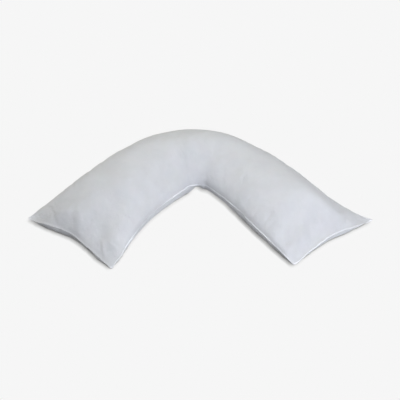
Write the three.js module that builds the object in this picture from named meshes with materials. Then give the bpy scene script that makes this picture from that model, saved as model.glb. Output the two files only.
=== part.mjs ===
import * as THREE from "three";

// V-shaped bed pillow, lying flat: the bend towards +Y, the two arms open towards -Y.
// Two panels are sewn together round the whole edge and filled, so the pillow is one
// closed solid: a crowned top, a flat patch underneath, and a seam that is drawn in along
// the sides and stands out in an ear at each of the four corners.

// Driving dimensions, in millimetres and degrees.
const LEFT_LEAN = 35.8; // the left arm's angle to straight back (-Y)
const RIGHT_LEAN = 40.7; // the right arm's
const BEND = 310; // length of the bend, along the middle of the pillow

// Cross-sections, left end to right end. "along" runs along the middle of the pillow
// from the bend's middle; inner and outer are the seam's distances from the bend's
// centre line; the seam heights and the crown are above the surface it lies on; pinch is
// how much further in than usual the underside meets the surface on the inner side.
const SECTIONS = rows("along inner outer innerSeam outerSeam crown pinch", [
  [-581, 27, 400, 3, 4, 12, 0],
  [-530, 27, 385, 26, 25, 70, -5],
  [-440, 44, 361, 38, 46, 122, -5],
  [-330, 53, 346, 46, 53, 142, -2],
  [-220, 45, 335, 50, 56, 146, 0],
  [-130, 34, 316, 49, 57, 141, 0],
  [-60, 32, 303, 47, 58, 140, 24],
  [0, 33, 294, 46, 58, 139, 80],
  [60, 34, 286, 46, 57, 139, 34],
  [130, 37, 281, 47, 56, 140, 32],
  [220, 40, 299, 49, 54, 142, 16],
  [340, 33, 303, 47, 50, 138, -5],
  [450, 23, 302, 38, 40, 124, -5],
  [560, 19, 338, 22, 21, 76, -4],
  [614, 23, 368, 3, 3, 12, 0],
]);

// The end seams, from the inner corner (0) to the outer corner (1): height, and how far
// the seam is drawn in from the corners.
const LEFT_END = rows("across height drawn", [
  [0, 3, -2],
  [0.25, 20, 9],
  [0.5, 34, 21],
  [0.75, 30, 12],
  [0.92, 11, 12],
  [1, 4, 12],
]);
const RIGHT_END = rows("across height drawn", [
  [0, 3, 19],
  [0.25, 26, 18],
  [0.5, 35, 16],
  [0.75, 26, 4],
  [0.92, 9, -1],
  [1, 3, -2],
]);

// Where the filling has gathered or parted, so that the top stands higher or lower: the
// place from the bend's centre, half-lengths along and across, the turn of the long one
// from +X, and the height.
const LUMPS = rows("x y long wide turn height", [
  [-470, -107, 40, 30, 36, -7], // hollow before the left outer ear
  [-423, -154, 45, 22, -28, 9], // ridge along the left end
  [-399, -160, 60, 35, 125, 11], // ridge across it
  [-365, -162, 55, 32, 54, 9], // left end
  [-289, -235, 45, 34, 90, -7], // hollow at the left inner corner
  [-281, -168, 41, 25, 31, -6], // hollow between it and the arm
  [-235, -61, 53, 46, 50, 10], // middle of the left arm
  [-221, 43, 49, 31, 48, 4], // its outer side
  [-109, 0, 60, 30, 45, -9], // its inner side
  [-128, -42, 70, 24, 53, -10], // furrow along its inner seam
  [-190, 140, 70, 48, 45, 6], // left shoulder
  [-52, 127, 56, 53, 116, 16], // bend, left of the middle
  [-62, 132, 78, 20, 113, -7], // furrow from the crotch to the back
  [42, 155, 85, 50, 15, 14], // bend, right of the middle
  [66, 98, 38, 19, -15, -6], // furrow between it and the crotch
  [72, 38, 55, 32, -50, 3], // right of the crotch
  [103, 4, 34, 25, -33, -6], // hollow beside it
  [106, 90, 60, 50, -40, -4], // right shoulder
  [196, 0, 70, 50, -45, -5], // top of the right arm
  [316, -100, 60, 60, 0, 5], // middle of the right arm
  [385, -110, 105, 48, -49, 12], // its outer side
  [292, -205, 80, 42, -49, -13], // its inner side
  [239, -194, 57, 18, -49, -7], // furrow along its inner seam
  [286, -235, 35, 30, -50, -7], // hollow before the right inner corner
  [405, -134, 66, 27, -24, 8], // ridge along the right end
  [381, -205, 35, 35, 0, -7], // dimple at the right end
  [475, -100, 40, 26, 40, -13], // hollow before the right outer ear
]);

const END_REACH = 210; // how far in from an end seam the crown still rises
const DRAW_FADE = 6; // how fast the drawing-in of an end seam dies away towards the bend
const END_FADE = 3; // the same, for the height of the end seam
const SIDE_FULLNESS = { power: 2.3, root: 1.75 }; // across the pillow, from seam to seam
const END_FULLNESS = { power: 2.4, root: 1.9 };
// The underside meets the surface this far inside the seam: the least distance and a share
// of the seam's height, which is less at the ends than along the sides.
const TUCK = { least: 4, sideShare: 0.48, endShare: 0.36 };

// Mesh resolution.
const STEPS_ALONG = 92;
const STEPS_ACROSS = 24;
const EDGE_CROWDING = { along: 0.45, across: 0.7 }; // 0 even, 1 packed towards the edges

const clamp01 = (x) => Math.min(1, Math.max(0, x));
const mix = (a, b, t) => a + (b - a) * t;
const radians = THREE.MathUtils.degToRad;

// Turns a table of bare rows into objects with the named columns.
function rows(names, table) {
  const keys = names.split(" ");
  return table.map((row) => Object.fromEntries(keys.map((key, i) => [key, row[i]])));
}

// A column's value at x, on a smooth curve through the rows: the first column is x.
function smoothValue(table, x, column) {
  const key = Object.keys(table[0])[0];
  const last = table.length - 1;
  const found = table.findIndex((row) => row[key] >= x);
  const i = found < 0 ? last : Math.max(1, found);
  const slope = (k) => {
    const before = table[Math.max(0, k - 1)];
    const after = table[Math.min(last, k + 1)];
    return (after[column] - before[column]) / (after[key] - before[key]);
  };
  const from = table[i - 1];
  const to = table[i];
  const span = to[key] - from[key];
  const t = clamp01((x - from[key]) / span);
  const s = 1 - t;
  const leave = from[column] + (slope(i - 1) * span) / 3;
  const arrive = to[column] - (slope(i) * span) / 3;
  return s ** 3 * from[column] + 3 * s * s * t * leave + 3 * s * t * t * arrive + t ** 3 * to[column];
}

// Even steps from 0 to 1, pulled towards both ends by the crowding.
function crowded(step, steps, crowding) {
  const even = step / steps;
  return mix(even, 0.5 - 0.5 * Math.cos(Math.PI * even), crowding);
}

const dome = (x, { power, root }) => Math.pow(1 - Math.pow(clamp01(x), power), 1 / root);

// Plan position of a point "along" the pillow and "out" from the bend's centre line.
function planPoint(along, out) {
  const arm = Math.max(0, Math.abs(along) - BEND / 2);
  const lean = radians(along < 0 ? LEFT_LEAN : RIGHT_LEAN);
  const side = Math.sign(along);
  if (arm > 0) {
    return [
      side * (Math.sin(lean) * arm + Math.cos(lean) * out),
      -Math.cos(lean) * arm + Math.sin(lean) * out,
    ];
  }
  const first = radians(180 - LEFT_LEAN);
  const last = radians(RIGHT_LEAN);
  const turn = mix(first, last, along / BEND + 0.5);
  return [Math.cos(turn) * out, Math.sin(turn) * out];
}

function lumpHeight(x, y) {
  return LUMPS.reduce((sum, lump) => {
    const turn = radians(lump.turn);
    const along = (x - lump.x) * Math.cos(turn) + (y - lump.y) * Math.sin(turn);
    const across = (y - lump.y) * Math.cos(turn) - (x - lump.x) * Math.sin(turn);
    return sum + lump.height * Math.exp(-0.5 * ((along / lump.long) ** 2 + (across / lump.wide) ** 2));
  }, 0);
}

// One point of the plan and the heights of the two panels there: u runs from the left end
// to the right end, v from the inner seam to the outer seam, both 0 to 1.
function pillowPoint(u, v) {
  const leftEnd = SECTIONS[0].along;
  const rightEnd = SECTIONS.at(-1).along;
  const station = mix(leftEnd, rightEnd, u);
  const nearEnd = station < 0 ? leftEnd : rightEnd;
  const endSeam = station < 0 ? LEFT_END : RIGHT_END;
  const toEnd = Math.abs(nearEnd - station);
  const at = (column) => smoothValue(SECTIONS, station, column);

  // The end seam is drawn in, and the sections beside it follow, less and less.
  const follow = Math.pow(station / nearEnd, DRAW_FADE);
  const along = station - Math.sign(station) * smoothValue(endSeam, v, "drawn") * follow;
  const width = at("outer") - at("inner");
  const [x, y] = planPoint(along, at("inner") + v * width);

  // The seams' own surface: straight across from seam to seam, bent to the end seams.
  const sides = mix(at("innerSeam"), at("outerSeam"), v);
  const corners = mix(
    smoothValue(SECTIONS, nearEnd, "innerSeam"),
    smoothValue(SECTIONS, nearEnd, "outerSeam"),
    v,
  );
  const endBend = smoothValue(endSeam, v, "height") - corners;
  const seams = sides + endBend * Math.pow(1 - clamp01(toEnd / END_REACH), END_FADE);

  const middle = mix(at("innerSeam"), at("outerSeam"), 0.5);
  const fullness =
    dome(Math.abs(2 * v - 1), SIDE_FULLNESS) * dome(1 - toEnd / END_REACH, END_FULLNESS);
  const top = seams + (at("crown") - middle + lumpHeight(x, y)) * fullness;

  // The underside rolls in from the seam, in a quarter of an ellipse, to the flat patch.
  const outerTuck = TUCK.least + TUCK.sideShare * seams;
  const innerTuck = outerTuck + at("pinch");
  const endTuck = TUCK.least + TUCK.endShare * seams;
  const fromSide = Math.max(1 - (v * width) / innerTuck, 1 - ((1 - v) * width) / outerTuck, 0);
  const fromEnd = 1 - clamp01(toEnd / endTuck);
  const roll = Math.min(1, Math.hypot(fromSide, fromEnd));
  const bottom = seams * (1 - Math.sqrt(1 - roll * roll));
  return { x, y, top, bottom };
}

function pillowGeometry() {
  const positions = [];
  const topIndex = [];
  const bottomIndex = [];
  for (let i = 0; i <= STEPS_ALONG; i++) {
    topIndex.push([]);
    bottomIndex.push([]);
    for (let j = 0; j <= STEPS_ACROSS; j++) {
      const u = crowded(i, STEPS_ALONG, EDGE_CROWDING.along);
      const v = crowded(j, STEPS_ACROSS, EDGE_CROWDING.across);
      const point = pillowPoint(u, v);
      topIndex[i][j] = positions.length / 3;
      positions.push(point.x, point.y, point.top);
      const onSeam = i === 0 || i === STEPS_ALONG || j === 0 || j === STEPS_ACROSS;
      bottomIndex[i][j] = onSeam ? topIndex[i][j] : positions.length / 3;
      if (!onSeam) positions.push(point.x, point.y, point.bottom);
    }
  }
  const faces = [];
  for (let i = 0; i < STEPS_ALONG; i++) {
    for (let j = 0; j < STEPS_ACROSS; j++) {
      for (const [grid, facing] of [[topIndex, 1], [bottomIndex, -1]]) {
        const corners = [grid[i][j], grid[i + 1][j], grid[i + 1][j + 1], grid[i][j + 1]];
        if (facing < 0) corners.reverse();
        faces.push(corners[0], corners[1], corners[2], corners[0], corners[2], corners[3]);
      }
    }
  }
  const geometry = new THREE.BufferGeometry();
  geometry.setAttribute("position", new THREE.Float32BufferAttribute(positions, 3));
  geometry.setIndex(faces);
  // The origin is the middle of the footprint, on the surface that the pillow lies on.
  geometry.computeBoundingBox();
  const centre = geometry.boundingBox.getCenter(new THREE.Vector3());
  geometry.translate(-centre.x, -centre.y, 0);
  return geometry;
}

const cloth = new THREE.MeshStandardMaterial({ color: 0xd3d6dc, roughness: 0.9, metalness: 0 });
const pillow = new THREE.Mesh(pillowGeometry(), cloth);
pillow.name = "pillow";

const part = new THREE.Group();
part.add(pillow);
export default part;
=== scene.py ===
import math

import bpy
import numpy as np
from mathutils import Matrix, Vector


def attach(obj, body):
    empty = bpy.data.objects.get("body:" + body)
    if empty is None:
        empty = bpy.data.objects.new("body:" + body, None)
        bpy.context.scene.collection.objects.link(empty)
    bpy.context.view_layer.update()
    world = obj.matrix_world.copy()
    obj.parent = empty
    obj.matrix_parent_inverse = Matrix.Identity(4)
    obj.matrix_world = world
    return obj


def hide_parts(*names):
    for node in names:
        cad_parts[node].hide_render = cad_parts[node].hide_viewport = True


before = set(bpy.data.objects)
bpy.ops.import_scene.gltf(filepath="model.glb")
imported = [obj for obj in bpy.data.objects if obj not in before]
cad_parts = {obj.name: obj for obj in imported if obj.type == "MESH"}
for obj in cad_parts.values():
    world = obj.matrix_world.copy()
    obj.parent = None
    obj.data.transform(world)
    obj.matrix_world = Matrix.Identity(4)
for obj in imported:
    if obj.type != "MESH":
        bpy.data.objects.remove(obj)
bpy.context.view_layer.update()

MM = 0.001
UP = np.array([0, 0, 1.0])

# --- Camera: a short telephoto, looking down at the open side of the V. ---
CAMERA_TARGET = Vector((0.0005, 0.0248, 0.0))
CAMERA_DISTANCE = 3.06
CAMERA_RISE = math.radians(40)
CAMERA_LENS = 80
CAMERA_SENSOR = 36


def make_camera():
    data = bpy.data.cameras.new("camera")
    data.lens = CAMERA_LENS
    data.sensor_width = CAMERA_SENSOR
    data.dof.use_dof = False
    camera = bpy.data.objects.new("camera", data)
    bpy.context.scene.collection.objects.link(camera)
    back = Vector((0, -math.cos(CAMERA_RISE), math.sin(CAMERA_RISE)))
    camera.location = CAMERA_TARGET + back * CAMERA_DISTANCE
    camera.rotation_euler = (-back).to_track_quat("-Z", "Y").to_euler()
    bpy.context.scene.camera = camera


make_camera()

# --- The CAD solid as two grids of points. ---
# A panel's grid is [along, across]: along runs from the left end to the right end, and
# across from the inner seam to the outer seam. The two panels share their rim.
MERGE = 1e-5  # metres; closer CAD vertices are one
TINY = 1e-12  # keeps a length from being nought where something is divided by it


def cad_panels(node):
    """The top and bottom panels of the CAD solid, as two grids that share their seam."""
    # One number to each point, and the way that each triangle faces.
    mesh = node.data
    corners = np.array([v.co for v in mesh.vertices], float)
    keys, merged = np.unique(np.round(corners / MERGE), axis=0, return_inverse=True)
    merged = merged.reshape(-1)
    points = np.zeros((len(keys), 3))
    points[merged] = corners
    faces = merged[np.array([p.vertices for p in mesh.polygons])]
    a, b, c = (points[faces[:, k]] for k in range(3))
    upward = np.cross(b - a, c - a)[:, 2] > 0

    # The third corner of the triangles on each edge, and the seam: the edges at which a
    # top and a bottom triangle meet.
    apexes = {}
    for face, is_top in zip(faces.tolist(), upward.tolist()):
        for k in range(3):
            edge = frozenset((face[k], face[k - 1]))
            apexes.setdefault(edge, []).append((is_top, face[k - 2]))
    touching = {}
    for edge, sides in apexes.items():
        if sides[0][0] != sides[1][0]:
            p, q = edge
            touching.setdefault(p, []).append(q)
            touching.setdefault(q, []).append(p)

    # The tips are the seam points with the fewest edges. The seam is walked between them.
    edge_count = np.bincount(np.array([list(e) for e in apexes]).ravel())
    tips = [p for p in touching if edge_count[p] == 3]
    start = min((p for p in tips if points[p][0] < 0), key=lambda p: points[p][1])

    def side_from(tip, first):
        found = [tip, first]
        while found[-1] not in tips:
            before, here = found[-2:]
            found.append(next(p for p in touching[here] if p != before))
        return found

    left_end, inner = sorted((side_from(start, p) for p in touching[start]), key=len)
    right_end = min((side_from(inner[-1], p) for p in touching[inner[-1]]), key=len)

    # Each row of a panel is made of the third corners of the triangles on the last row.
    panels = []
    for is_top in (True, False):
        rows = [inner]
        used = set()
        while len(rows) < len(left_end):
            row = rows[-1]
            apex = []
            for p, q in zip(row, row[1:]):
                found = [r for top, r in apexes[frozenset((p, q))] if top == is_top]
                apex.append(next(r for r in found if r not in used))
            ends = left_end[len(rows)], right_end[len(rows)]
            rows.append([ends[0], *apex] if apex[-1] == ends[1] else [*apex, ends[1]])
            used.update(row)
        panels.append(points[np.array(rows)].swapaxes(0, 1))
    return panels


def spline(grid, at, axis):
    """The grid's values at fractional steps along one axis, on Catmull-Rom curves."""
    g = np.moveaxis(grid, axis, 0)
    before = 3 * g[0] - 3 * g[1] + g[2]
    after = 3 * g[-1] - 3 * g[-2] + g[-3]
    g = np.concatenate([[before], g, [after]])
    i = np.clip(np.floor(at).astype(int), 0, len(g) - 4)
    t = (at - i).reshape(-1, *[1] * (g.ndim - 1))
    p0, p1, p2, p3 = (g[i + k] for k in range(4))
    made = p1 + 0.5 * t * (
        p2 - p0 + t * (2 * p0 - 5 * p1 + 4 * p2 - p3 + t * (3 * (p1 - p2) + p3 - p0))
    )
    return np.moveaxis(made, 0, axis)


def resampled(grid, along, across):
    return spline(spline(grid, along, 0), across, 1)


def smoothed(grid, rounds):
    """The grid after many small averaging rounds along both axes."""
    for _ in range(rounds):
        for axis in (0, 1):
            g = np.moveaxis(grid, axis, 0)
            g = np.concatenate([g[:1], g, g[-1:]])
            grid = np.moveaxis((g[:-2] + 2 * g[1:-1] + g[2:]) / 4, 0, axis)
    return grid


def unit(vectors):
    return vectors / np.maximum(np.linalg.norm(vectors, axis=-1, keepdims=True), TINY)


def normals(grid, outward):
    return outward * unit(np.cross(np.gradient(grid, axis=0), np.gradient(grid, axis=1)))


def smoothstep(x):
    x = np.clip(x, 0, 1)
    return x * x * (3 - 2 * x)


def grid_numbers(shape):
    """Vertex numbers of the top and bottom grids of one closed mesh."""
    top = np.arange(shape[0] * shape[1]).reshape(shape[:2])
    bottom = top.copy()
    inside = bottom[1:-1, 1:-1]
    inside[...] = top.size + np.arange(inside.size).reshape(inside.shape)
    return top, bottom


def both(panels):
    """The values of the closed mesh's vertices, from those of the two panels."""
    top, bottom = panels
    inside = bottom[1:-1, 1:-1]
    width = top.shape[2:]
    return np.concatenate([top.reshape(-1, *width), inside.reshape(-1, *width)])


def cells(grid, facing):
    """The four corners of each of the grid's cells, in order round a face."""
    corners = [grid[:-1, :-1], grid[1:, :-1], grid[1:, 1:], grid[:-1, 1:]]
    corners = np.stack(corners[::facing], axis=2)
    return corners.reshape(-1, *corners.shape[2:])


def closed_piece(name, panels):
    """One closed mesh of the two panels."""
    top, bottom = grid_numbers(panels[0].shape)
    faces = np.concatenate([cells(top, 1), cells(bottom, -1)])
    mesh = bpy.data.meshes.new(name)
    mesh.from_pydata(both(panels).tolist(), [], faces.tolist())
    mesh.shade_smooth()
    piece = bpy.data.objects.new(name, mesh)
    bpy.context.scene.collection.objects.link(piece)
    return piece


# --- Cloth: the filling presses on panels that are a little too large for the shape. ---
CLOTH_DENSITY = 2  # cloth steps to a CAD step
CLOTH_FRAMES = 20
CLOTH_QUALITY = 6
CLOTH_POINT_MASS = 0.3
CLOTH_BENDING = 0.3
CLOTH_DAMPING = 4
CLOTH_PRESSURE = 4.0
CLOTH_SLACK = 0.03  # share by which the cloth is larger than the CAD surface
SWELL_ROUNDS = 70  # smoothing that separates the swelling, which isn't kept, from the folds
FOLD_SHARE = 0.4  # how much of each fold is kept
FOLD_LIMIT = 4 * MM
FOLD_FADE = (40 * MM, 16 * MM)  # distance over which those of the top and bottom grow


def simulated_folds(panels):
    """How far each point of the two panels moves into the folds of a short Cloth run."""
    along, across = (
        np.linspace(0, n - 1, (n - 1) * CLOTH_DENSITY + 1) for n in panels[0].shape[:2]
    )
    start = [resampled(panel, along, across) for panel in panels]
    top, bottom = grid_numbers(start[0].shape)
    piece = closed_piece("trial", start)
    rim = np.unique(np.concatenate([top[0], top[-1], top[:, 0], top[:, -1]]))
    held = piece.vertex_groups.new(name="held")
    held.add(rim.tolist(), 1.0, "REPLACE")
    cloth = piece.modifiers.new("cloth", "CLOTH")
    settings = cloth.settings
    settings.quality = CLOTH_QUALITY
    settings.mass = CLOTH_POINT_MASS
    settings.bending_stiffness = CLOTH_BENDING
    settings.air_damping = CLOTH_DAMPING
    settings.use_pressure = True
    settings.uniform_pressure_force = CLOTH_PRESSURE
    settings.shrink_min = -CLOTH_SLACK
    settings.vertex_group_mass = held.name
    settings.effector_weights.gravity = 0
    cloth.collision_settings.use_collision = False
    cloth.point_cache.frame_start = 1
    cloth.point_cache.frame_end = CLOTH_FRAMES
    for number in range(1, CLOTH_FRAMES + 1):
        bpy.context.scene.frame_set(number)
    graph = bpy.context.evaluated_depsgraph_get()
    mesh = piece.evaluated_get(graph).data
    points = np.array([v.co for v in mesh.vertices])
    bpy.context.scene.frame_set(1)
    bpy.data.objects.remove(piece)
    folds = []
    for numbers, panel in zip((top, bottom), start):
        move = points[numbers] - panel
        move -= smoothed(move, SWELL_ROUNDS)
        size = np.linalg.norm(move, axis=-1, keepdims=True)
        kept = FOLD_LIMIT * np.tanh(size * FOLD_SHARE / FOLD_LIMIT)
        folds.append(move * kept / np.maximum(size, TINY))
    return folds


# --- The finished cover. ---
FINE_DENSITY = 4  # steps of the finished mesh to a CAD step
# The cuts beside a seam, as shares of the first CAD step.
BESIDE_SEAM = [0, 0.03, 0.06, 0.09, 0.12, 0.16, 0.21, 0.28, 0.37, 0.48, 0.6, 0.74, 0.87]

# Soft forms, each along a short curve over the filling, in millimetres: its height (a
# hollow's is negative), its half-width, how sharp it is (2 is round, 1 is a crease), and
# the points that it runs through.
TOP_FORMS = [
    # Left end.
    (5, 24, 2, (-480, -115), (-425, -138), (-385, -185)),
    (2, 20, 1.4, (-398, -128), (-392, -165), (-380, -210)),
    (-4, 30, 2, (-420, -60), (-370, -60)),
    (4, 22, 2, (-275, -225), (-265, -250)),
    (3, 7, 1.5, (-309, -236), (-303, -274)),
    (-4, 20, 1.8, (-322, -190), (-315, -235)),
    # Left arm.
    (-4, 34, 2, (-345, -80), (-285, -110), (-235, -150)),
    (5, 32, 2, (-240, -35), (-205, -90)),
    (-5, 30, 2, (-185, -90), (-135, -25), (-78, 55)),
    # Bend.
    (-4, 14, 1.4, (-105, 118), (-66, 98), (-54, 70), (-60, 42)),
    (7, 60, 2, (-75, 140), (-40, 150)),
    (2.5, 26, 2, (-40, 146), (20, 146)),
    (-3, 16, 1.6, (-4, 62), (12, 84), (40, 95)),
    (-4, 30, 2, (70, 40), (120, 45)),
    # Right arm.
    (3, 28, 2, (215, 5), (235, -15)),
    (-3, 30, 2, (265, -60), (275, -90)),
    (-3, 18, 2, (180, -110), (230, -172)),
    (5, 28, 2, (262, -130), (262, -190)),
    (-5, 18, 2, (268, -215), (275, -240)),
    # Right end.
    (5, 26, 2, (330, -90), (400, -122), (480, -132)),
    (-4, 24, 2, (355, -160), (360, -190)),
    (-6, 26, 1.6, (360, -175), (362, -205)),
    (5, 16, 1.5, (330, -185), (322, -240)),
    (5, 20, 2, (328, -205), (325, -240)),
]
BOTTOM_FORMS = [
    (-5, 9, 2, (-21, 58), (-6, 63), (13, 56)),  # the pinch at the crotch
    (5, 9, 2, (-300, -285), (-318, -272), (-345, -252)),  # beside the front left tip
]
FORM_STEPS = 12  # pieces of the curve to a stretch between two points
FORM_TAPER = 0.3  # share of the curve's length over which an end dies away
FORM_END = 0.4  # share of the height that is left at the very end
FORM_FADE = (20 * MM, 5 * MM)  # distance over which those of the top and bottom grow

# How far each tip moves along X, Y and Z, in millimetres: the left end's inner and outer
# one, then the right end's. The cloth beside a tip follows it, less and less.
TIP_SHIFTS = (((0, 2, 0), (2, 2, 7)), ((0, 1.5, 4), (0, 3, 6)))
TIP_REACH = 25 * MM

# The seam wanders a little, and gathers the cloth beside it. Each wave: its length and
# its height, in millimetres.
WANDER = [(173, 0.9), (97, 0.7), (61, 0.5), (37, 0.35)]
WANDER_REACH = 25 * MM
WANDER_RISE = 0.5  # share of the wander that goes up and down
GATHERS = [(41, 0.5), (27, 0.5), (19, 0.4), (13.5, 0.3)]
GATHER_START = 4 * MM
GATHER_REACH = {"top": 12 * MM, "bottom": 26 * MM}
GATHER_SHARE = {"top": 0.5, "bottom": 1.6}
GATHER_SLANT = 0.15  # distance along the seam to a distance from it
# Each wave swells and fades by this share, over this many of its lengths, and it is
# stretched and squeezed by this much in turn, over that many.
SWELL_SHARE = 0.4
SWELL_LENGTHS = (2.3, 4.1)
STRETCH = 1.3
STRETCH_LENGTHS = 5.7

# The sewn edge: a narrow round welt.
WELT_OUT = 2.6 * MM  # how far it stands out
WELT_RADIUS = 2.1 * MM
WELT_TURN = math.radians(115)  # how far the cloth turns round the edge
WELT_WIDTH = 4.2 * MM  # of cloth in the welt
WELT_BLEND = 3.5 * MM  # and beside it
# Beyond these limits the size still sets the painted highlight on the welt.
WELT_LIMITS = (0.5, 1.2)  # sizes that its form keeps to; its tone goes further
CORNER_SHARPNESS = 8  # of the change from one side's seam to the next one's, at a tip
# The welt's size on each side of the pillow, by share of the side's length.
# The size also sets the painted highlight on the welt and, where it is small, the painted
# shade beside it.
WELT_SIZES = {
    "left end": [
        (0, 0.9), (0.12, 1.0), (0.18, 0.2), (0.46, 0), (0.52, 0.4), (0.8, 0.5),
        (0.93, 1.6), (1, 2),
    ],
    "right end": [
        (0, 1.8), (0.12, 1.8), (0.2, 1.1), (0.7, 1.2), (0.78, 0.6), (0.9, 2.2), (1, 2.2),
    ],
    "inner": [
        (0, 0.9), (0.15, 1.4), (0.19, 0.3), (0.29, 0.2), (0.33, 1.3), (0.45, 1.5),
        (0.49, 0.9), (0.54, 0.4), (0.6, 0.4), (0.67, 0.7), (0.72, 0.5), (0.81, 1.1),
        (0.87, 0.5), (1, 1.4),
    ],
    "outer": [(0, 1), (0.1, 0.8), (0.9, 0.8), (1, 1.5)],
}
INWARD_STEPS = 6  # from the rim to the points that show which way is in
WANDER_SEEDS = (3, 4)  # of the wander out and in, and of that up and down
GATHER_SEEDS = {"top": 5, "bottom": 6}


def fine_steps(steps):
    """Sampling of one side of the grid: even, and closer beside the seams."""
    first = np.array(BESIDE_SEAM)
    middle = np.linspace(1, steps - 1, (steps - 2) * FINE_DENSITY + 1)
    return np.concatenate([first, middle, steps - first[::-1]])


def lengths(grid, axis):
    """Distance over the cloth from the first and from the last row."""
    step = np.linalg.norm(np.diff(grid, axis=axis), axis=-1)
    zero = np.zeros_like(np.take(step, [0], axis))
    first = np.concatenate([zero, np.cumsum(step, axis=axis)], axis=axis)
    last = np.take(first, [-1], axis) - first
    return first, last


def nearest_rim(grid, rim_values, sharpness):
    """Each point's distance to the seam, and the nearest rim point's value.

    Near a corner the values of its two sides mix, the more so the less the sharpness is.
    """
    distances = np.stack([*lengths(grid, 0), *lengths(grid, 1)]) + TINY
    spread = np.broadcast_arrays(
        rim_values[0][None, :], rim_values[-1][None, :], rim_values[:, :1], rim_values[:, -1:]
    )
    nearest = distances.min(0)
    weights = ((nearest / distances) ** sharpness)[..., None]
    return nearest, (np.stack(spread) * weights).sum(0) / weights.sum(0)


def rim_outward(middle):
    """The level direction out of the pillow, at each point of the rim."""
    out = np.zeros(middle.shape)
    for index, inward in (
        (np.s_[0, :], np.s_[INWARD_STEPS, :]),
        (np.s_[-1, :], np.s_[-1 - INWARD_STEPS, :]),
        (np.s_[:, 0], np.s_[:, INWARD_STEPS]),
        (np.s_[:, -1], np.s_[:, -1 - INWARD_STEPS]),
    ):
        line = middle[index]
        tangent = np.gradient(line, axis=0)
        side = unit(np.stack([tangent[:, 1], -tangent[:, 0], 0 * tangent[:, 0]], -1))
        side *= np.sign(((line - middle[inward]) * side).sum(-1, keepdims=True))
        out[index] += side
    return unit(out)


def rim_run(grid):
    """Distance along the seam, round the pillow, at each point of the rim."""
    run = np.zeros(grid.shape[:2])
    along, across = lengths(grid, 0)[0], lengths(grid, 1)[0]
    run[:, 0] = along[:, 0]
    run[-1, :] = run[-1, 0] + across[-1]
    run[:, -1] = run[-1, -1] + along[-1:, -1] - along[:, -1]
    run[0, 1:] = run[0, -1] + across[0, -1] - across[0, 1:]
    return run


def rim_sizes(shape):
    """The size of the welt at each point of the rim."""
    sizes = np.ones(shape)
    for name, index in (
        ("left end", np.s_[0]),
        ("right end", np.s_[-1]),
        ("inner", np.s_[:, 0]),
        ("outer", np.s_[:, -1]),
    ):
        share, size = np.transpose(WELT_SIZES[name])
        sizes[index] = np.interp(np.linspace(0, 1, sizes[index].size), share, size)
    return sizes


def tips_shifted(grid):
    """The panel with its four tips moved."""
    moved = grid.copy()
    for end, shifts in zip((0, -1), TIP_SHIFTS):
        for side, shift in zip((0, -1), shifts):
            away = np.linalg.norm(grid - grid[end, side], axis=-1, keepdims=True)
            moved += np.array(shift) * MM * np.exp(-away / TIP_REACH)
    return moved


def wave(run, waves, seed):
    """A sum of waves of seeded phase along the seam, which swell and fade."""
    random = np.random.default_rng(seed)
    total = np.zeros_like(run)
    for length, height in waves:
        start = random.uniform(0, 2 * math.pi, 2)
        swell = random.uniform(*SWELL_LENGTHS)
        turns = 2 * math.pi * run / (length * MM)
        envelope = 1 - SWELL_SHARE + SWELL_SHARE * np.sin(turns / swell + start[1])
        stretch = STRETCH * np.sin(turns / STRETCH_LENGTHS)
        total += height * MM * envelope * np.sin(turns + start[0] + stretch)
    return total


def form_height(forms, grid):
    """Height of all the soft forms over the points of one panel."""
    x, y = grid[..., 0], grid[..., 1]
    total = np.zeros_like(x)
    for height, width, power, *stops in forms:
        stops = np.array(stops, float) * MM
        at = np.linspace(0, len(stops) - 1, (len(stops) - 1) * FORM_STEPS + 1)
        path = spline(stops, at, 0) if len(stops) > 2 else (
            stops[0] + (stops[-1] - stops[0]) * (at / at[-1])[:, None]
        )
        share = np.linspace(0, 1, len(path))
        taper = smoothstep(np.minimum(share, 1 - share) / FORM_TAPER)
        taper = FORM_END + (1 - FORM_END) * taper
        away = np.hypot(x[..., None] - path[:, 0], y[..., None] - path[:, 1])
        profile = np.exp(-((away / (width * MM)) ** power))
        total += height * MM * (profile * taper).max(-1)
    return total


def thread_grid(grid, shift):
    """Where each point of a panel lies in the flat cloth that it was cut from.

    The shift tells the two panels' cloth apart.
    """
    middle = grid.shape[1] // 2
    step = np.diff(grid[:, middle], axis=0)
    run = unit(step[:, :2]) * np.linalg.norm(step, axis=-1, keepdims=True)
    start = np.concatenate([[[0, 0]], np.cumsum(run, axis=0)])
    side = unit(grid[:, -1, :2] - grid[:, 0, :2])
    out = lengths(grid, 1)[0]
    out = out - out[:, middle : middle + 1]
    flat = start[:, None] + side[:, None] * out[..., None]
    return np.concatenate([flat, np.full((*flat.shape[:2], 1), shift)], axis=-1)


def seam_facts(fine):
    """For each panel, every point's distance to the seam and the facts of the seam there.

    The facts are the level direction out of the pillow, the distance along the seam, and
    the size of the welt.
    """
    outward = rim_outward((fine[0] + fine[1]) / 2)
    run = rim_run(fine[0])
    sizes = rim_sizes(run.shape)
    edges = []
    for grid in fine:
        distance, mixed = nearest_rim(grid, np.dstack([outward, sizes]), CORNER_SHARPNESS)
        at = nearest_rim(grid, run[..., None], math.inf)[1]
        edges.append((distance, np.dstack([mixed[..., :3], at, mixed[..., 3:]])))
    return edges, run.max()


def grown(edges, fades):
    """How far each panel's points are from the seam, from 0 at it to 1 beyond its fade."""
    return [smoothstep(distance / fade) for (distance, _), fade in zip(edges, fades)]


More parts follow.
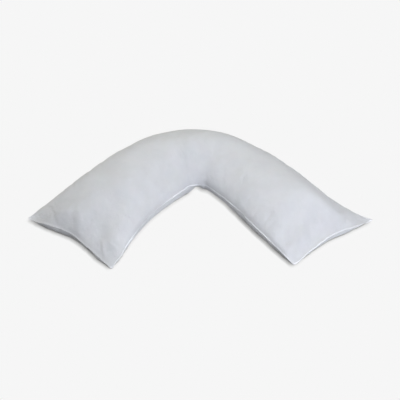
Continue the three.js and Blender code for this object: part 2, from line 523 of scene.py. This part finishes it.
def move_seam(fine, edges):
    """The seam wanders as one line, takes the cloth beside it along, and gathers it."""
    level_seed, rise_seed = WANDER_SEEDS
    for side, facing, grid, (distance, facts) in zip(("top", "bottom"), (1, -1), fine, edges):
        out, at = facts[..., :3], facts[..., 3]
        shift = wave(at, WANDER, level_seed)[..., None] * out
        shift += WANDER_RISE * wave(at, WANDER, rise_seed)[..., None] * UP
        grid += shift * np.exp(-distance / WANDER_REACH)[..., None]
        gather = wave(at + GATHER_SLANT * distance, GATHERS, GATHER_SEEDS[side])
        gather *= GATHER_SHARE[side] * smoothstep(distance / GATHER_START)
        gather *= np.exp(-distance / GATHER_REACH[side])
        grid += normals(grid, facing) * gather[..., None]


def sew_edge(fine, edges):
    """The cloth beside the seam turns round the welt."""
    for grid, (distance, facts), facing in zip(fine, edges, (1, -1)):
        out, size = facts[..., :3], np.clip(facts[..., 4], *WELT_LIMITS)
        base = nearest_rim(grid, grid, CORNER_SHARPNESS)[1]
        turn = np.clip(distance / WELT_WIDTH, 0, 1) * WELT_TURN
        reach = size * (WELT_OUT - WELT_RADIUS * (1 - np.cos(turn)))
        rise = size * WELT_RADIUS * np.sin(turn) * facing
        welt = base + out * reach[..., None] + UP * rise[..., None]
        beside = smoothstep((distance - WELT_WIDTH) / WELT_BLEND)[..., None]
        grid[...] = welt + (grid - welt) * beside


def make_cover():
    panels = cad_panels(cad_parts["pillow"])
    along, across = (fine_steps(n - 1) for n in panels[0].shape[:2])
    fine = [tips_shifted(resampled(panel, along, across)) for panel in panels]
    threads = [thread_grid(grid, shift) for grid, shift in zip(fine, (0.0, 1.0))]
    edges, seam_length = seam_facts(fine)

    for grid, folds, share in zip(fine, simulated_folds(panels), grown(edges, FOLD_FADE)):
        folds = resampled(folds, along * CLOTH_DENSITY, across * CLOTH_DENSITY)
        grid += folds * share[..., None]
    shares = grown(edges, FORM_FADE)
    for grid, forms, share, side in zip(fine, (TOP_FORMS, BOTTOM_FORMS), shares, (1, -1)):
        grid += normals(grid, side) * (form_height(forms, grid) * share)[..., None]
    move_seam(fine, edges)
    sew_edge(fine, edges)

    # The underside stays on the surface that it rests on, and shares its rim with the top.
    fine[1][..., 2] = np.maximum(fine[1][..., 2], 0)
    for index in (np.s_[0], np.s_[-1], np.s_[:, 0], np.s_[:, -1]):
        fine[1][index] = fine[0][index]

    # The material reads the place in the flat cloth ("thread"), and the distance along the
    # seam, the distance from it and the size of the welt ("edge"). The distance along the
    # seam is counted both ways from the first tip, so that the stitches meet there.
    cover = closed_piece("pillow_cover", fine)
    mesh = cover.data
    thread = mesh.attributes.new("thread", "FLOAT_VECTOR", "CORNER")
    corners = [cells(grid, facing) for grid, facing in zip(threads, (1, -1))]
    thread.data.foreach_set("vector", np.concatenate(corners).ravel())
    # The welt's size also sets the painted highlight on it and the painted shade beside the
    # seam.
    marks = []
    for distance, facts in edges:
        both_ways = np.minimum(facts[..., 3], seam_length - facts[..., 3])
        marks.append(np.dstack([both_ways, distance, facts[..., 4]]))
    edge = mesh.attributes.new("edge", "FLOAT_VECTOR", "POINT")
    edge.data.foreach_set("vector", both(marks).ravel())
    return cover


cover = make_cover()


# --- Materials. ---
class Nodes:
    """Short ways to add and join the nodes of one material."""

    def __init__(self, name):
        self.material = bpy.data.materials.new(name)
        self.material.use_nodes = True
        self.tree = self.material.node_tree
        self.shader = self.tree.nodes["Principled BSDF"]
        self.output = self.tree.nodes["Material Output"]

    def add(self, kind, inputs=None, **settings):
        node = self.tree.nodes.new(kind)
        for key, value in settings.items():
            setattr(node, key, value)
        for key, value in (inputs or {}).items():
            self.put(node.inputs[key], value)
        return node

    def put(self, socket, value):
        if isinstance(value, bpy.types.NodeSocket):
            self.tree.links.new(value, socket)
        else:
            socket.default_value = value

    def math(self, operation, *values, clamp=False):
        node = self.add("ShaderNodeMath", operation=operation, use_clamp=clamp)
        for socket, value in zip(node.inputs, values):
            self.put(socket, value)
        return node.outputs[0]

    def ramp(self, value, low, high, to_low=0.0, to_high=1.0):
        node = self.add("ShaderNodeMapRange", interpolation_type="SMOOTHSTEP")
        for socket, number in zip(node.inputs, (value, low, high, to_low, to_high)):
            self.put(socket, number)
        return node.outputs[0]

    def noise(self, vector, scale, detail, roughness):
        return self.add("ShaderNodeTexNoise", {
            "Vector": vector, "Scale": scale, "Detail": detail, "Roughness": roughness,
        })


WHITE = (0.606, 0.619, 0.655)
TINT_STRENGTH = (0.03, 0.02, 0.03)  # how far the white's hue wanders from place to place
THREAD_PITCH = 0.5 * MM
THREAD_ROUND = 0.35  # the smaller, the more a thread's bar is full to its ends
WEAVE_SHADE = (0.955, 0.07)  # the tone between the threads, and what their tops add
SLUB_LENGTH = 12  # times a slub's width
# Noises over the flat cloth: scale, detail and roughness.
SLUBS = (60, 2.0, 0.5)
CRUMPLE = (45, 3.0, 0.55)
FINE_CRUMPLE = (170, 2.0, 0.5)
PATCHES = (16, 3.0, 0.6)
TINTS = (21, 3.0, 0.6)
# What a noise makes of its range: from where to where it is read, and the two results.
PATCH_TONE = (0.25, 0.75, 0.972, 1.028)
SLUB_TONE = (0.3, 0.7, 0.994, 1.006)
ROUGHNESS = (0.3, 0.7, 0.84, 0.92)
SPECULAR = 0.3
SHEEN = 0.05
SHEEN_ROUGHNESS = 0.5
# Heights in the bump.
CRUMPLE_HEIGHT = 1.5 * MM
FINE_CRUMPLE_HEIGHT = 0.22 * MM
THREAD_HEIGHT = 0.05 * MM
STITCH_DEPTH = 0.5 * MM
STITCH_PITCH = 3 * MM
STITCH_LINE = (2.0 * MM, 3.2 * MM, 3.6 * MM, 5.2 * MM)  # deepest between the middle two
STITCH_GAP = 0.6  # how much shallower it is between two stitches
STITCH_ROUND = 0.5
# The welt is painted paler, as a painted highlight on it.
WELT_PAINTED_HIGHLIGHT = 0.22
WELT_EDGE = (3.0 * MM, 5.0 * MM)
# Where there is little of the welt, painted shade darkens the cloth beside the seam.
SEAM_PAINTED_SHADE = 0.1
SEAM_SHADE = (2.0 * MM, 5.0 * MM, 8.0 * MM, 22.0 * MM)


def woven(n, thread):
    """Plain weave: each thread shows as a short bar where it passes over the other."""
    x, y, _ = n.add("ShaderNodeSeparateXYZ", {"Vector": thread}).outputs
    warp, weft = (
        n.math("SINE", n.math("MULTIPLY", along, math.pi / THREAD_PITCH)) for along in (x, y)
    )
    warp_over = n.math("GREATER_THAN", n.math("MULTIPLY", warp, weft), 0.0)
    warp, weft = n.math("ABSOLUTE", warp), n.math("ABSOLUTE", weft)
    long_warp = n.math("MULTIPLY", warp, n.math("POWER", weft, THREAD_ROUND))
    long_weft = n.math("MULTIPLY", weft, n.math("POWER", warp, THREAD_ROUND))
    mix = n.add("ShaderNodeMix", {"Factor": warp_over, 2: long_weft, 3: long_warp})
    return mix.outputs[0]


def stitched(n, run, from_seam):
    """Stitches pull the cloth down beside the welt."""
    wave_along = n.math("SINE", n.math("MULTIPLY", run, math.pi / STITCH_PITCH))
    stitch = n.math("POWER", n.math("ABSOLUTE", wave_along), STITCH_ROUND)
    begins, full, fades, ends = STITCH_LINE
    line = n.math(
        "MULTIPLY", n.ramp(from_seam, begins, full), n.ramp(from_seam, fades, ends, 1.0, 0.0)
    )
    gaps = n.math("SUBTRACT", 1.0, n.math("MULTIPLY", stitch, STITCH_GAP))
    return n.math("MULTIPLY", line, gaps)


def seam_painted_light(n, from_seam, size):
    """Painted highlight on the welt, and painted shade on the cloth beside it where the welt
    is small.
    """
    painted_highlight = n.math("MULTIPLY", n.ramp(from_seam, *WELT_EDGE, WELT_PAINTED_HIGHLIGHT, 0.0), size)
    flat = n.math("SUBTRACT", 1.0, size, clamp=True)
    # Painted shade in a band beside the seam, strongest where the welt is small.
    begins, full, fades, ends = SEAM_SHADE
    shade = n.math(
        "MULTIPLY",
        n.ramp(from_seam, begins, full),
        n.ramp(from_seam, fades, ends, SEAM_PAINTED_SHADE, 0.0),
    )
    darker = n.math("SUBTRACT", 1.0, n.math("MULTIPLY", flat, shade))
    return n.math("MULTIPLY", n.math("ADD", painted_highlight, 1.0), darker)


def cotton():
    """White plain-woven cotton: threads, small creases, faint unevenness of tone, and a
    painted highlight and painted shade at the seam.
    """
    n = Nodes("white_cotton")
    thread = n.add("ShaderNodeAttribute", attribute_name="thread").outputs["Vector"]
    edge = n.add("ShaderNodeAttribute", attribute_name="edge").outputs["Vector"]
    run, from_seam, size = n.add("ShaderNodeSeparateXYZ", {"Vector": edge}).outputs
    weave = woven(n, thread)
    long = n.add("ShaderNodeMapping", {"Vector": thread, "Scale": (1, SLUB_LENGTH, 1)})
    slubs = n.noise(long.outputs[0], *SLUBS).outputs["Fac"]
    crumple = n.noise(thread, *CRUMPLE).outputs["Fac"]
    fine_crumple = n.noise(thread, *FINE_CRUMPLE).outputs["Fac"]
    patches = n.noise(thread, *PATCHES).outputs["Fac"]
    tints = n.noise(thread, *TINTS).outputs["Color"]

    tone = n.math("MULTIPLY", n.ramp(patches, *PATCH_TONE), n.ramp(slubs, *SLUB_TONE))
    between, above = WEAVE_SHADE
    tone = n.math("MULTIPLY", tone, n.math("ADD", between, n.math("MULTIPLY", weave, above)))
    # The painted highlight on the welt and the painted shade beside the seam.
    tone = n.math("MULTIPLY", tone, seam_painted_light(n, from_seam, size))
    darkest = tuple(white - 0.5 * tint for white, tint in zip(WHITE, TINT_STRENGTH))
    tinted = n.add(
        "ShaderNodeVectorMath", {0: tints, 1: TINT_STRENGTH, 2: darkest},
        operation="MULTIPLY_ADD",
    )
    colour = n.add("ShaderNodeVectorMath", {0: tinted.outputs[0]}, operation="SCALE")
    n.put(colour.inputs["Scale"], tone)
    n.put(n.shader.inputs["Base Color"], colour.outputs[0])
    n.put(n.shader.inputs["Roughness"], n.ramp(fine_crumple, *ROUGHNESS))
    n.shader.inputs["Specular IOR Level"].default_value = SPECULAR
    n.shader.inputs["Sheen Weight"].default_value = SHEEN
    n.shader.inputs["Sheen Roughness"].default_value = SHEEN_ROUGHNESS

    height = n.math("MULTIPLY", crumple, CRUMPLE_HEIGHT)
    for part, rise in (
        (fine_crumple, FINE_CRUMPLE_HEIGHT),
        (weave, THREAD_HEIGHT),
        (stitched(n, run, from_seam), -STITCH_DEPTH),
    ):
        height = n.math("ADD", height, n.math("MULTIPLY", part, rise))
    bump = n.add("ShaderNodeBump", {"Height": height, "Strength": 1.0, "Distance": 1.0})
    n.put(n.shader.inputs["Normal"], bump.outputs[0])
    return n.material


cover.data.materials.append(cotton())

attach(cover, "root")
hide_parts("pillow")

# --- Floor, light and background. ---
FLOOR_REACH = 30
FLOOR_DROP = 0.5 * MM
FLOOR_COLOUR = 0.92  # what the pillow sees
# Painted shade: the floor's colour that the pillow sees is darkened close beside the pillow.
FLOOR_PAINTED_SHADE = 0.03  # and close beside the pillow
FLOOR_SHADE = (0.35, 0.95)  # the openness at which it is darkest, and at which it is clear
PAPER = 0.922  # what the camera sees of the floor and the background
LIT_FROM = (0.8, -0.15, 0.32)  # the side from which the floor is open to the light
# Within what distance the floor's openness is read, and with how many samples: for the painted
# shade of the floor that the pillow sees, for the painted shadow that the camera sees, and for
# the painted shadow where they touch.
NEAR = (110 * MM, 6)
PAINTED_SHADOW = (16 * MM, 16)
CONTACT_SHADOW = (6 * MM, 8)
# The painted shadow that the camera sees, and the darker painted line where the pillow touches
# the floor.
SHADOW_OPEN = 0.45  # openness at which the shadow seen is deepest
SHADOW_ROUND = 0.7
SHADOW_LEVEL = 0.24  # of the paper's tone, where it is deepest
TOUCH_SHADE = (0.2, 0.9)
TOUCH_LEVEL = 0.5


def studio_floor():
    """Pale paper: the camera sees one even tone, with a shadow painted close beside the pillow
    from how open the floor is there.
    """
    n = Nodes("studio_floor")
    open_side = n.add("ShaderNodeCombineXYZ", dict(enumerate(LIT_FROM))).outputs[0]

    def openness(reach, samples, **side):
        """How open the floor is, upward or to the side that a Normal gives."""
        inputs = {"Distance": reach, **side}
        node = n.add("ShaderNodeAmbientOcclusion", inputs, samples=samples)
        return node.outputs["AO"]

    # Painted shade in the floor's colour, which the pillow sees, where the pillow closes the
    # floor in.
    near_painted_shade = openness(*NEAR, Normal=open_side)
    near_painted_shade = n.ramp(near_painted_shade, *FLOOR_SHADE, FLOOR_PAINTED_SHADE, FLOOR_COLOUR)
    grey = n.add("ShaderNodeCombineXYZ", dict.fromkeys(range(3), near_painted_shade)).outputs[0]
    n.put(n.shader.inputs["Base Color"], grey)
    n.shader.inputs["Roughness"].default_value = 1
    n.shader.inputs["Specular IOR Level"].default_value = 0

    # Painted shadow for the camera, and a darker painted line where the pillow touches the
    # floor.
    painted_shadow_tone = n.math("SUBTRACT", openness(*PAINTED_SHADOW, Normal=open_side), SHADOW_OPEN)
    painted_shadow_tone = n.math("DIVIDE", painted_shadow_tone, 1 - SHADOW_OPEN, clamp=True)
    painted_shadow_tone = n.math("POWER", painted_shadow_tone, SHADOW_ROUND)
    painted_shadow_tone = n.math("MULTIPLY_ADD", painted_shadow_tone, 1 - SHADOW_LEVEL, SHADOW_LEVEL)
    contact_shadow = n.ramp(openness(*CONTACT_SHADOW), *TOUCH_SHADE, TOUCH_LEVEL, 1.0)
    level = n.math("MULTIPLY", painted_shadow_tone, contact_shadow)
    seen = n.add("ShaderNodeEmission", {"Strength": n.math("MULTIPLY", level, PAPER)})
    camera_ray = n.add("ShaderNodeLightPath").outputs["Is Camera Ray"]
    mixed = n.add("ShaderNodeMixShader", {
        0: camera_ray, 1: n.shader.outputs[0], 2: seen.outputs[0],
    })
    n.tree.links.new(mixed.outputs[0], n.output.inputs["Surface"])
    return n.material


def make_floor():
    r = FLOOR_REACH
    mesh = bpy.data.meshes.new("floor")
    mesh.from_pydata([(-r, -r, 0), (r, -r, 0), (r, r, 0), (-r, r, 0)], [], [(0, 1, 2, 3)])
    mesh.materials.append(studio_floor())
    floor = bpy.data.objects.new("floor", mesh)
    floor.location.z = -FLOOR_DROP
    bpy.context.scene.collection.objects.link(floor)
    return floor


floor = make_floor()

WORLD_LIGHT = 0.19  # from every side


def make_world():
    """Even light from all round, and the paper's tone behind for the camera."""
    world = bpy.data.worlds.new("studio")
    bpy.context.scene.world = world
    world.use_nodes = True
    tree = world.node_tree
    ambient = tree.nodes["Background"]
    paper = tree.nodes.new("ShaderNodeBackground")
    for node, strength in ((ambient, WORLD_LIGHT), (paper, PAPER)):
        node.inputs["Color"].default_value = (1, 1, 1, 1)
        node.inputs["Strength"].default_value = strength
    camera_ray = tree.nodes.new("ShaderNodeLightPath").outputs["Is Camera Ray"]
    mixed = tree.nodes.new("ShaderNodeMixShader")
    for socket, value in zip(mixed.inputs, (camera_ray, ambient.outputs[0], paper.outputs[0])):
        tree.links.new(value, socket)
    tree.links.new(mixed.outputs[0], tree.nodes["World Output"].inputs["Surface"])


make_world()

# Soft boxes: the direction from the middle (degrees from +X, and up), power and colour.
LAMPS = {
    "key": (300, 35, 33.7, (0.93, 0.92, 1.0)),
    "front": (285, 50, 15.5, (0.93, 1.0, 0.98)),
    "top": (90, 65, 27.5, (1.0, 0.99, 0.89)),
    "back": (160, 20, 12.6, (1.0, 0.95, 0.88)),
}
LAMP_SIZE = 1.2
LAMP_AWAY = 2.6


def make_lamp(name, turn, rise, power, colour):
    data = bpy.data.lights.new(name, "AREA")
    data.shape = "SQUARE"
    data.size = LAMP_SIZE
    data.energy = power
    data.color = colour
    lamp = bpy.data.objects.new(name, data)
    turn, rise = math.radians(turn), math.radians(rise)
    level = math.cos(rise)
    towards = Vector((math.cos(turn) * level, math.sin(turn) * level, math.sin(rise)))
    lamp.location = towards * LAMP_AWAY
    lamp.rotation_euler = towards.to_track_quat("Z", "Y").to_euler()
    bpy.context.scene.collection.objects.link(lamp)


for name, lamp in LAMPS.items():
    make_lamp(name, *lamp)

bpy.context.scene.view_settings.view_transform = "Standard"
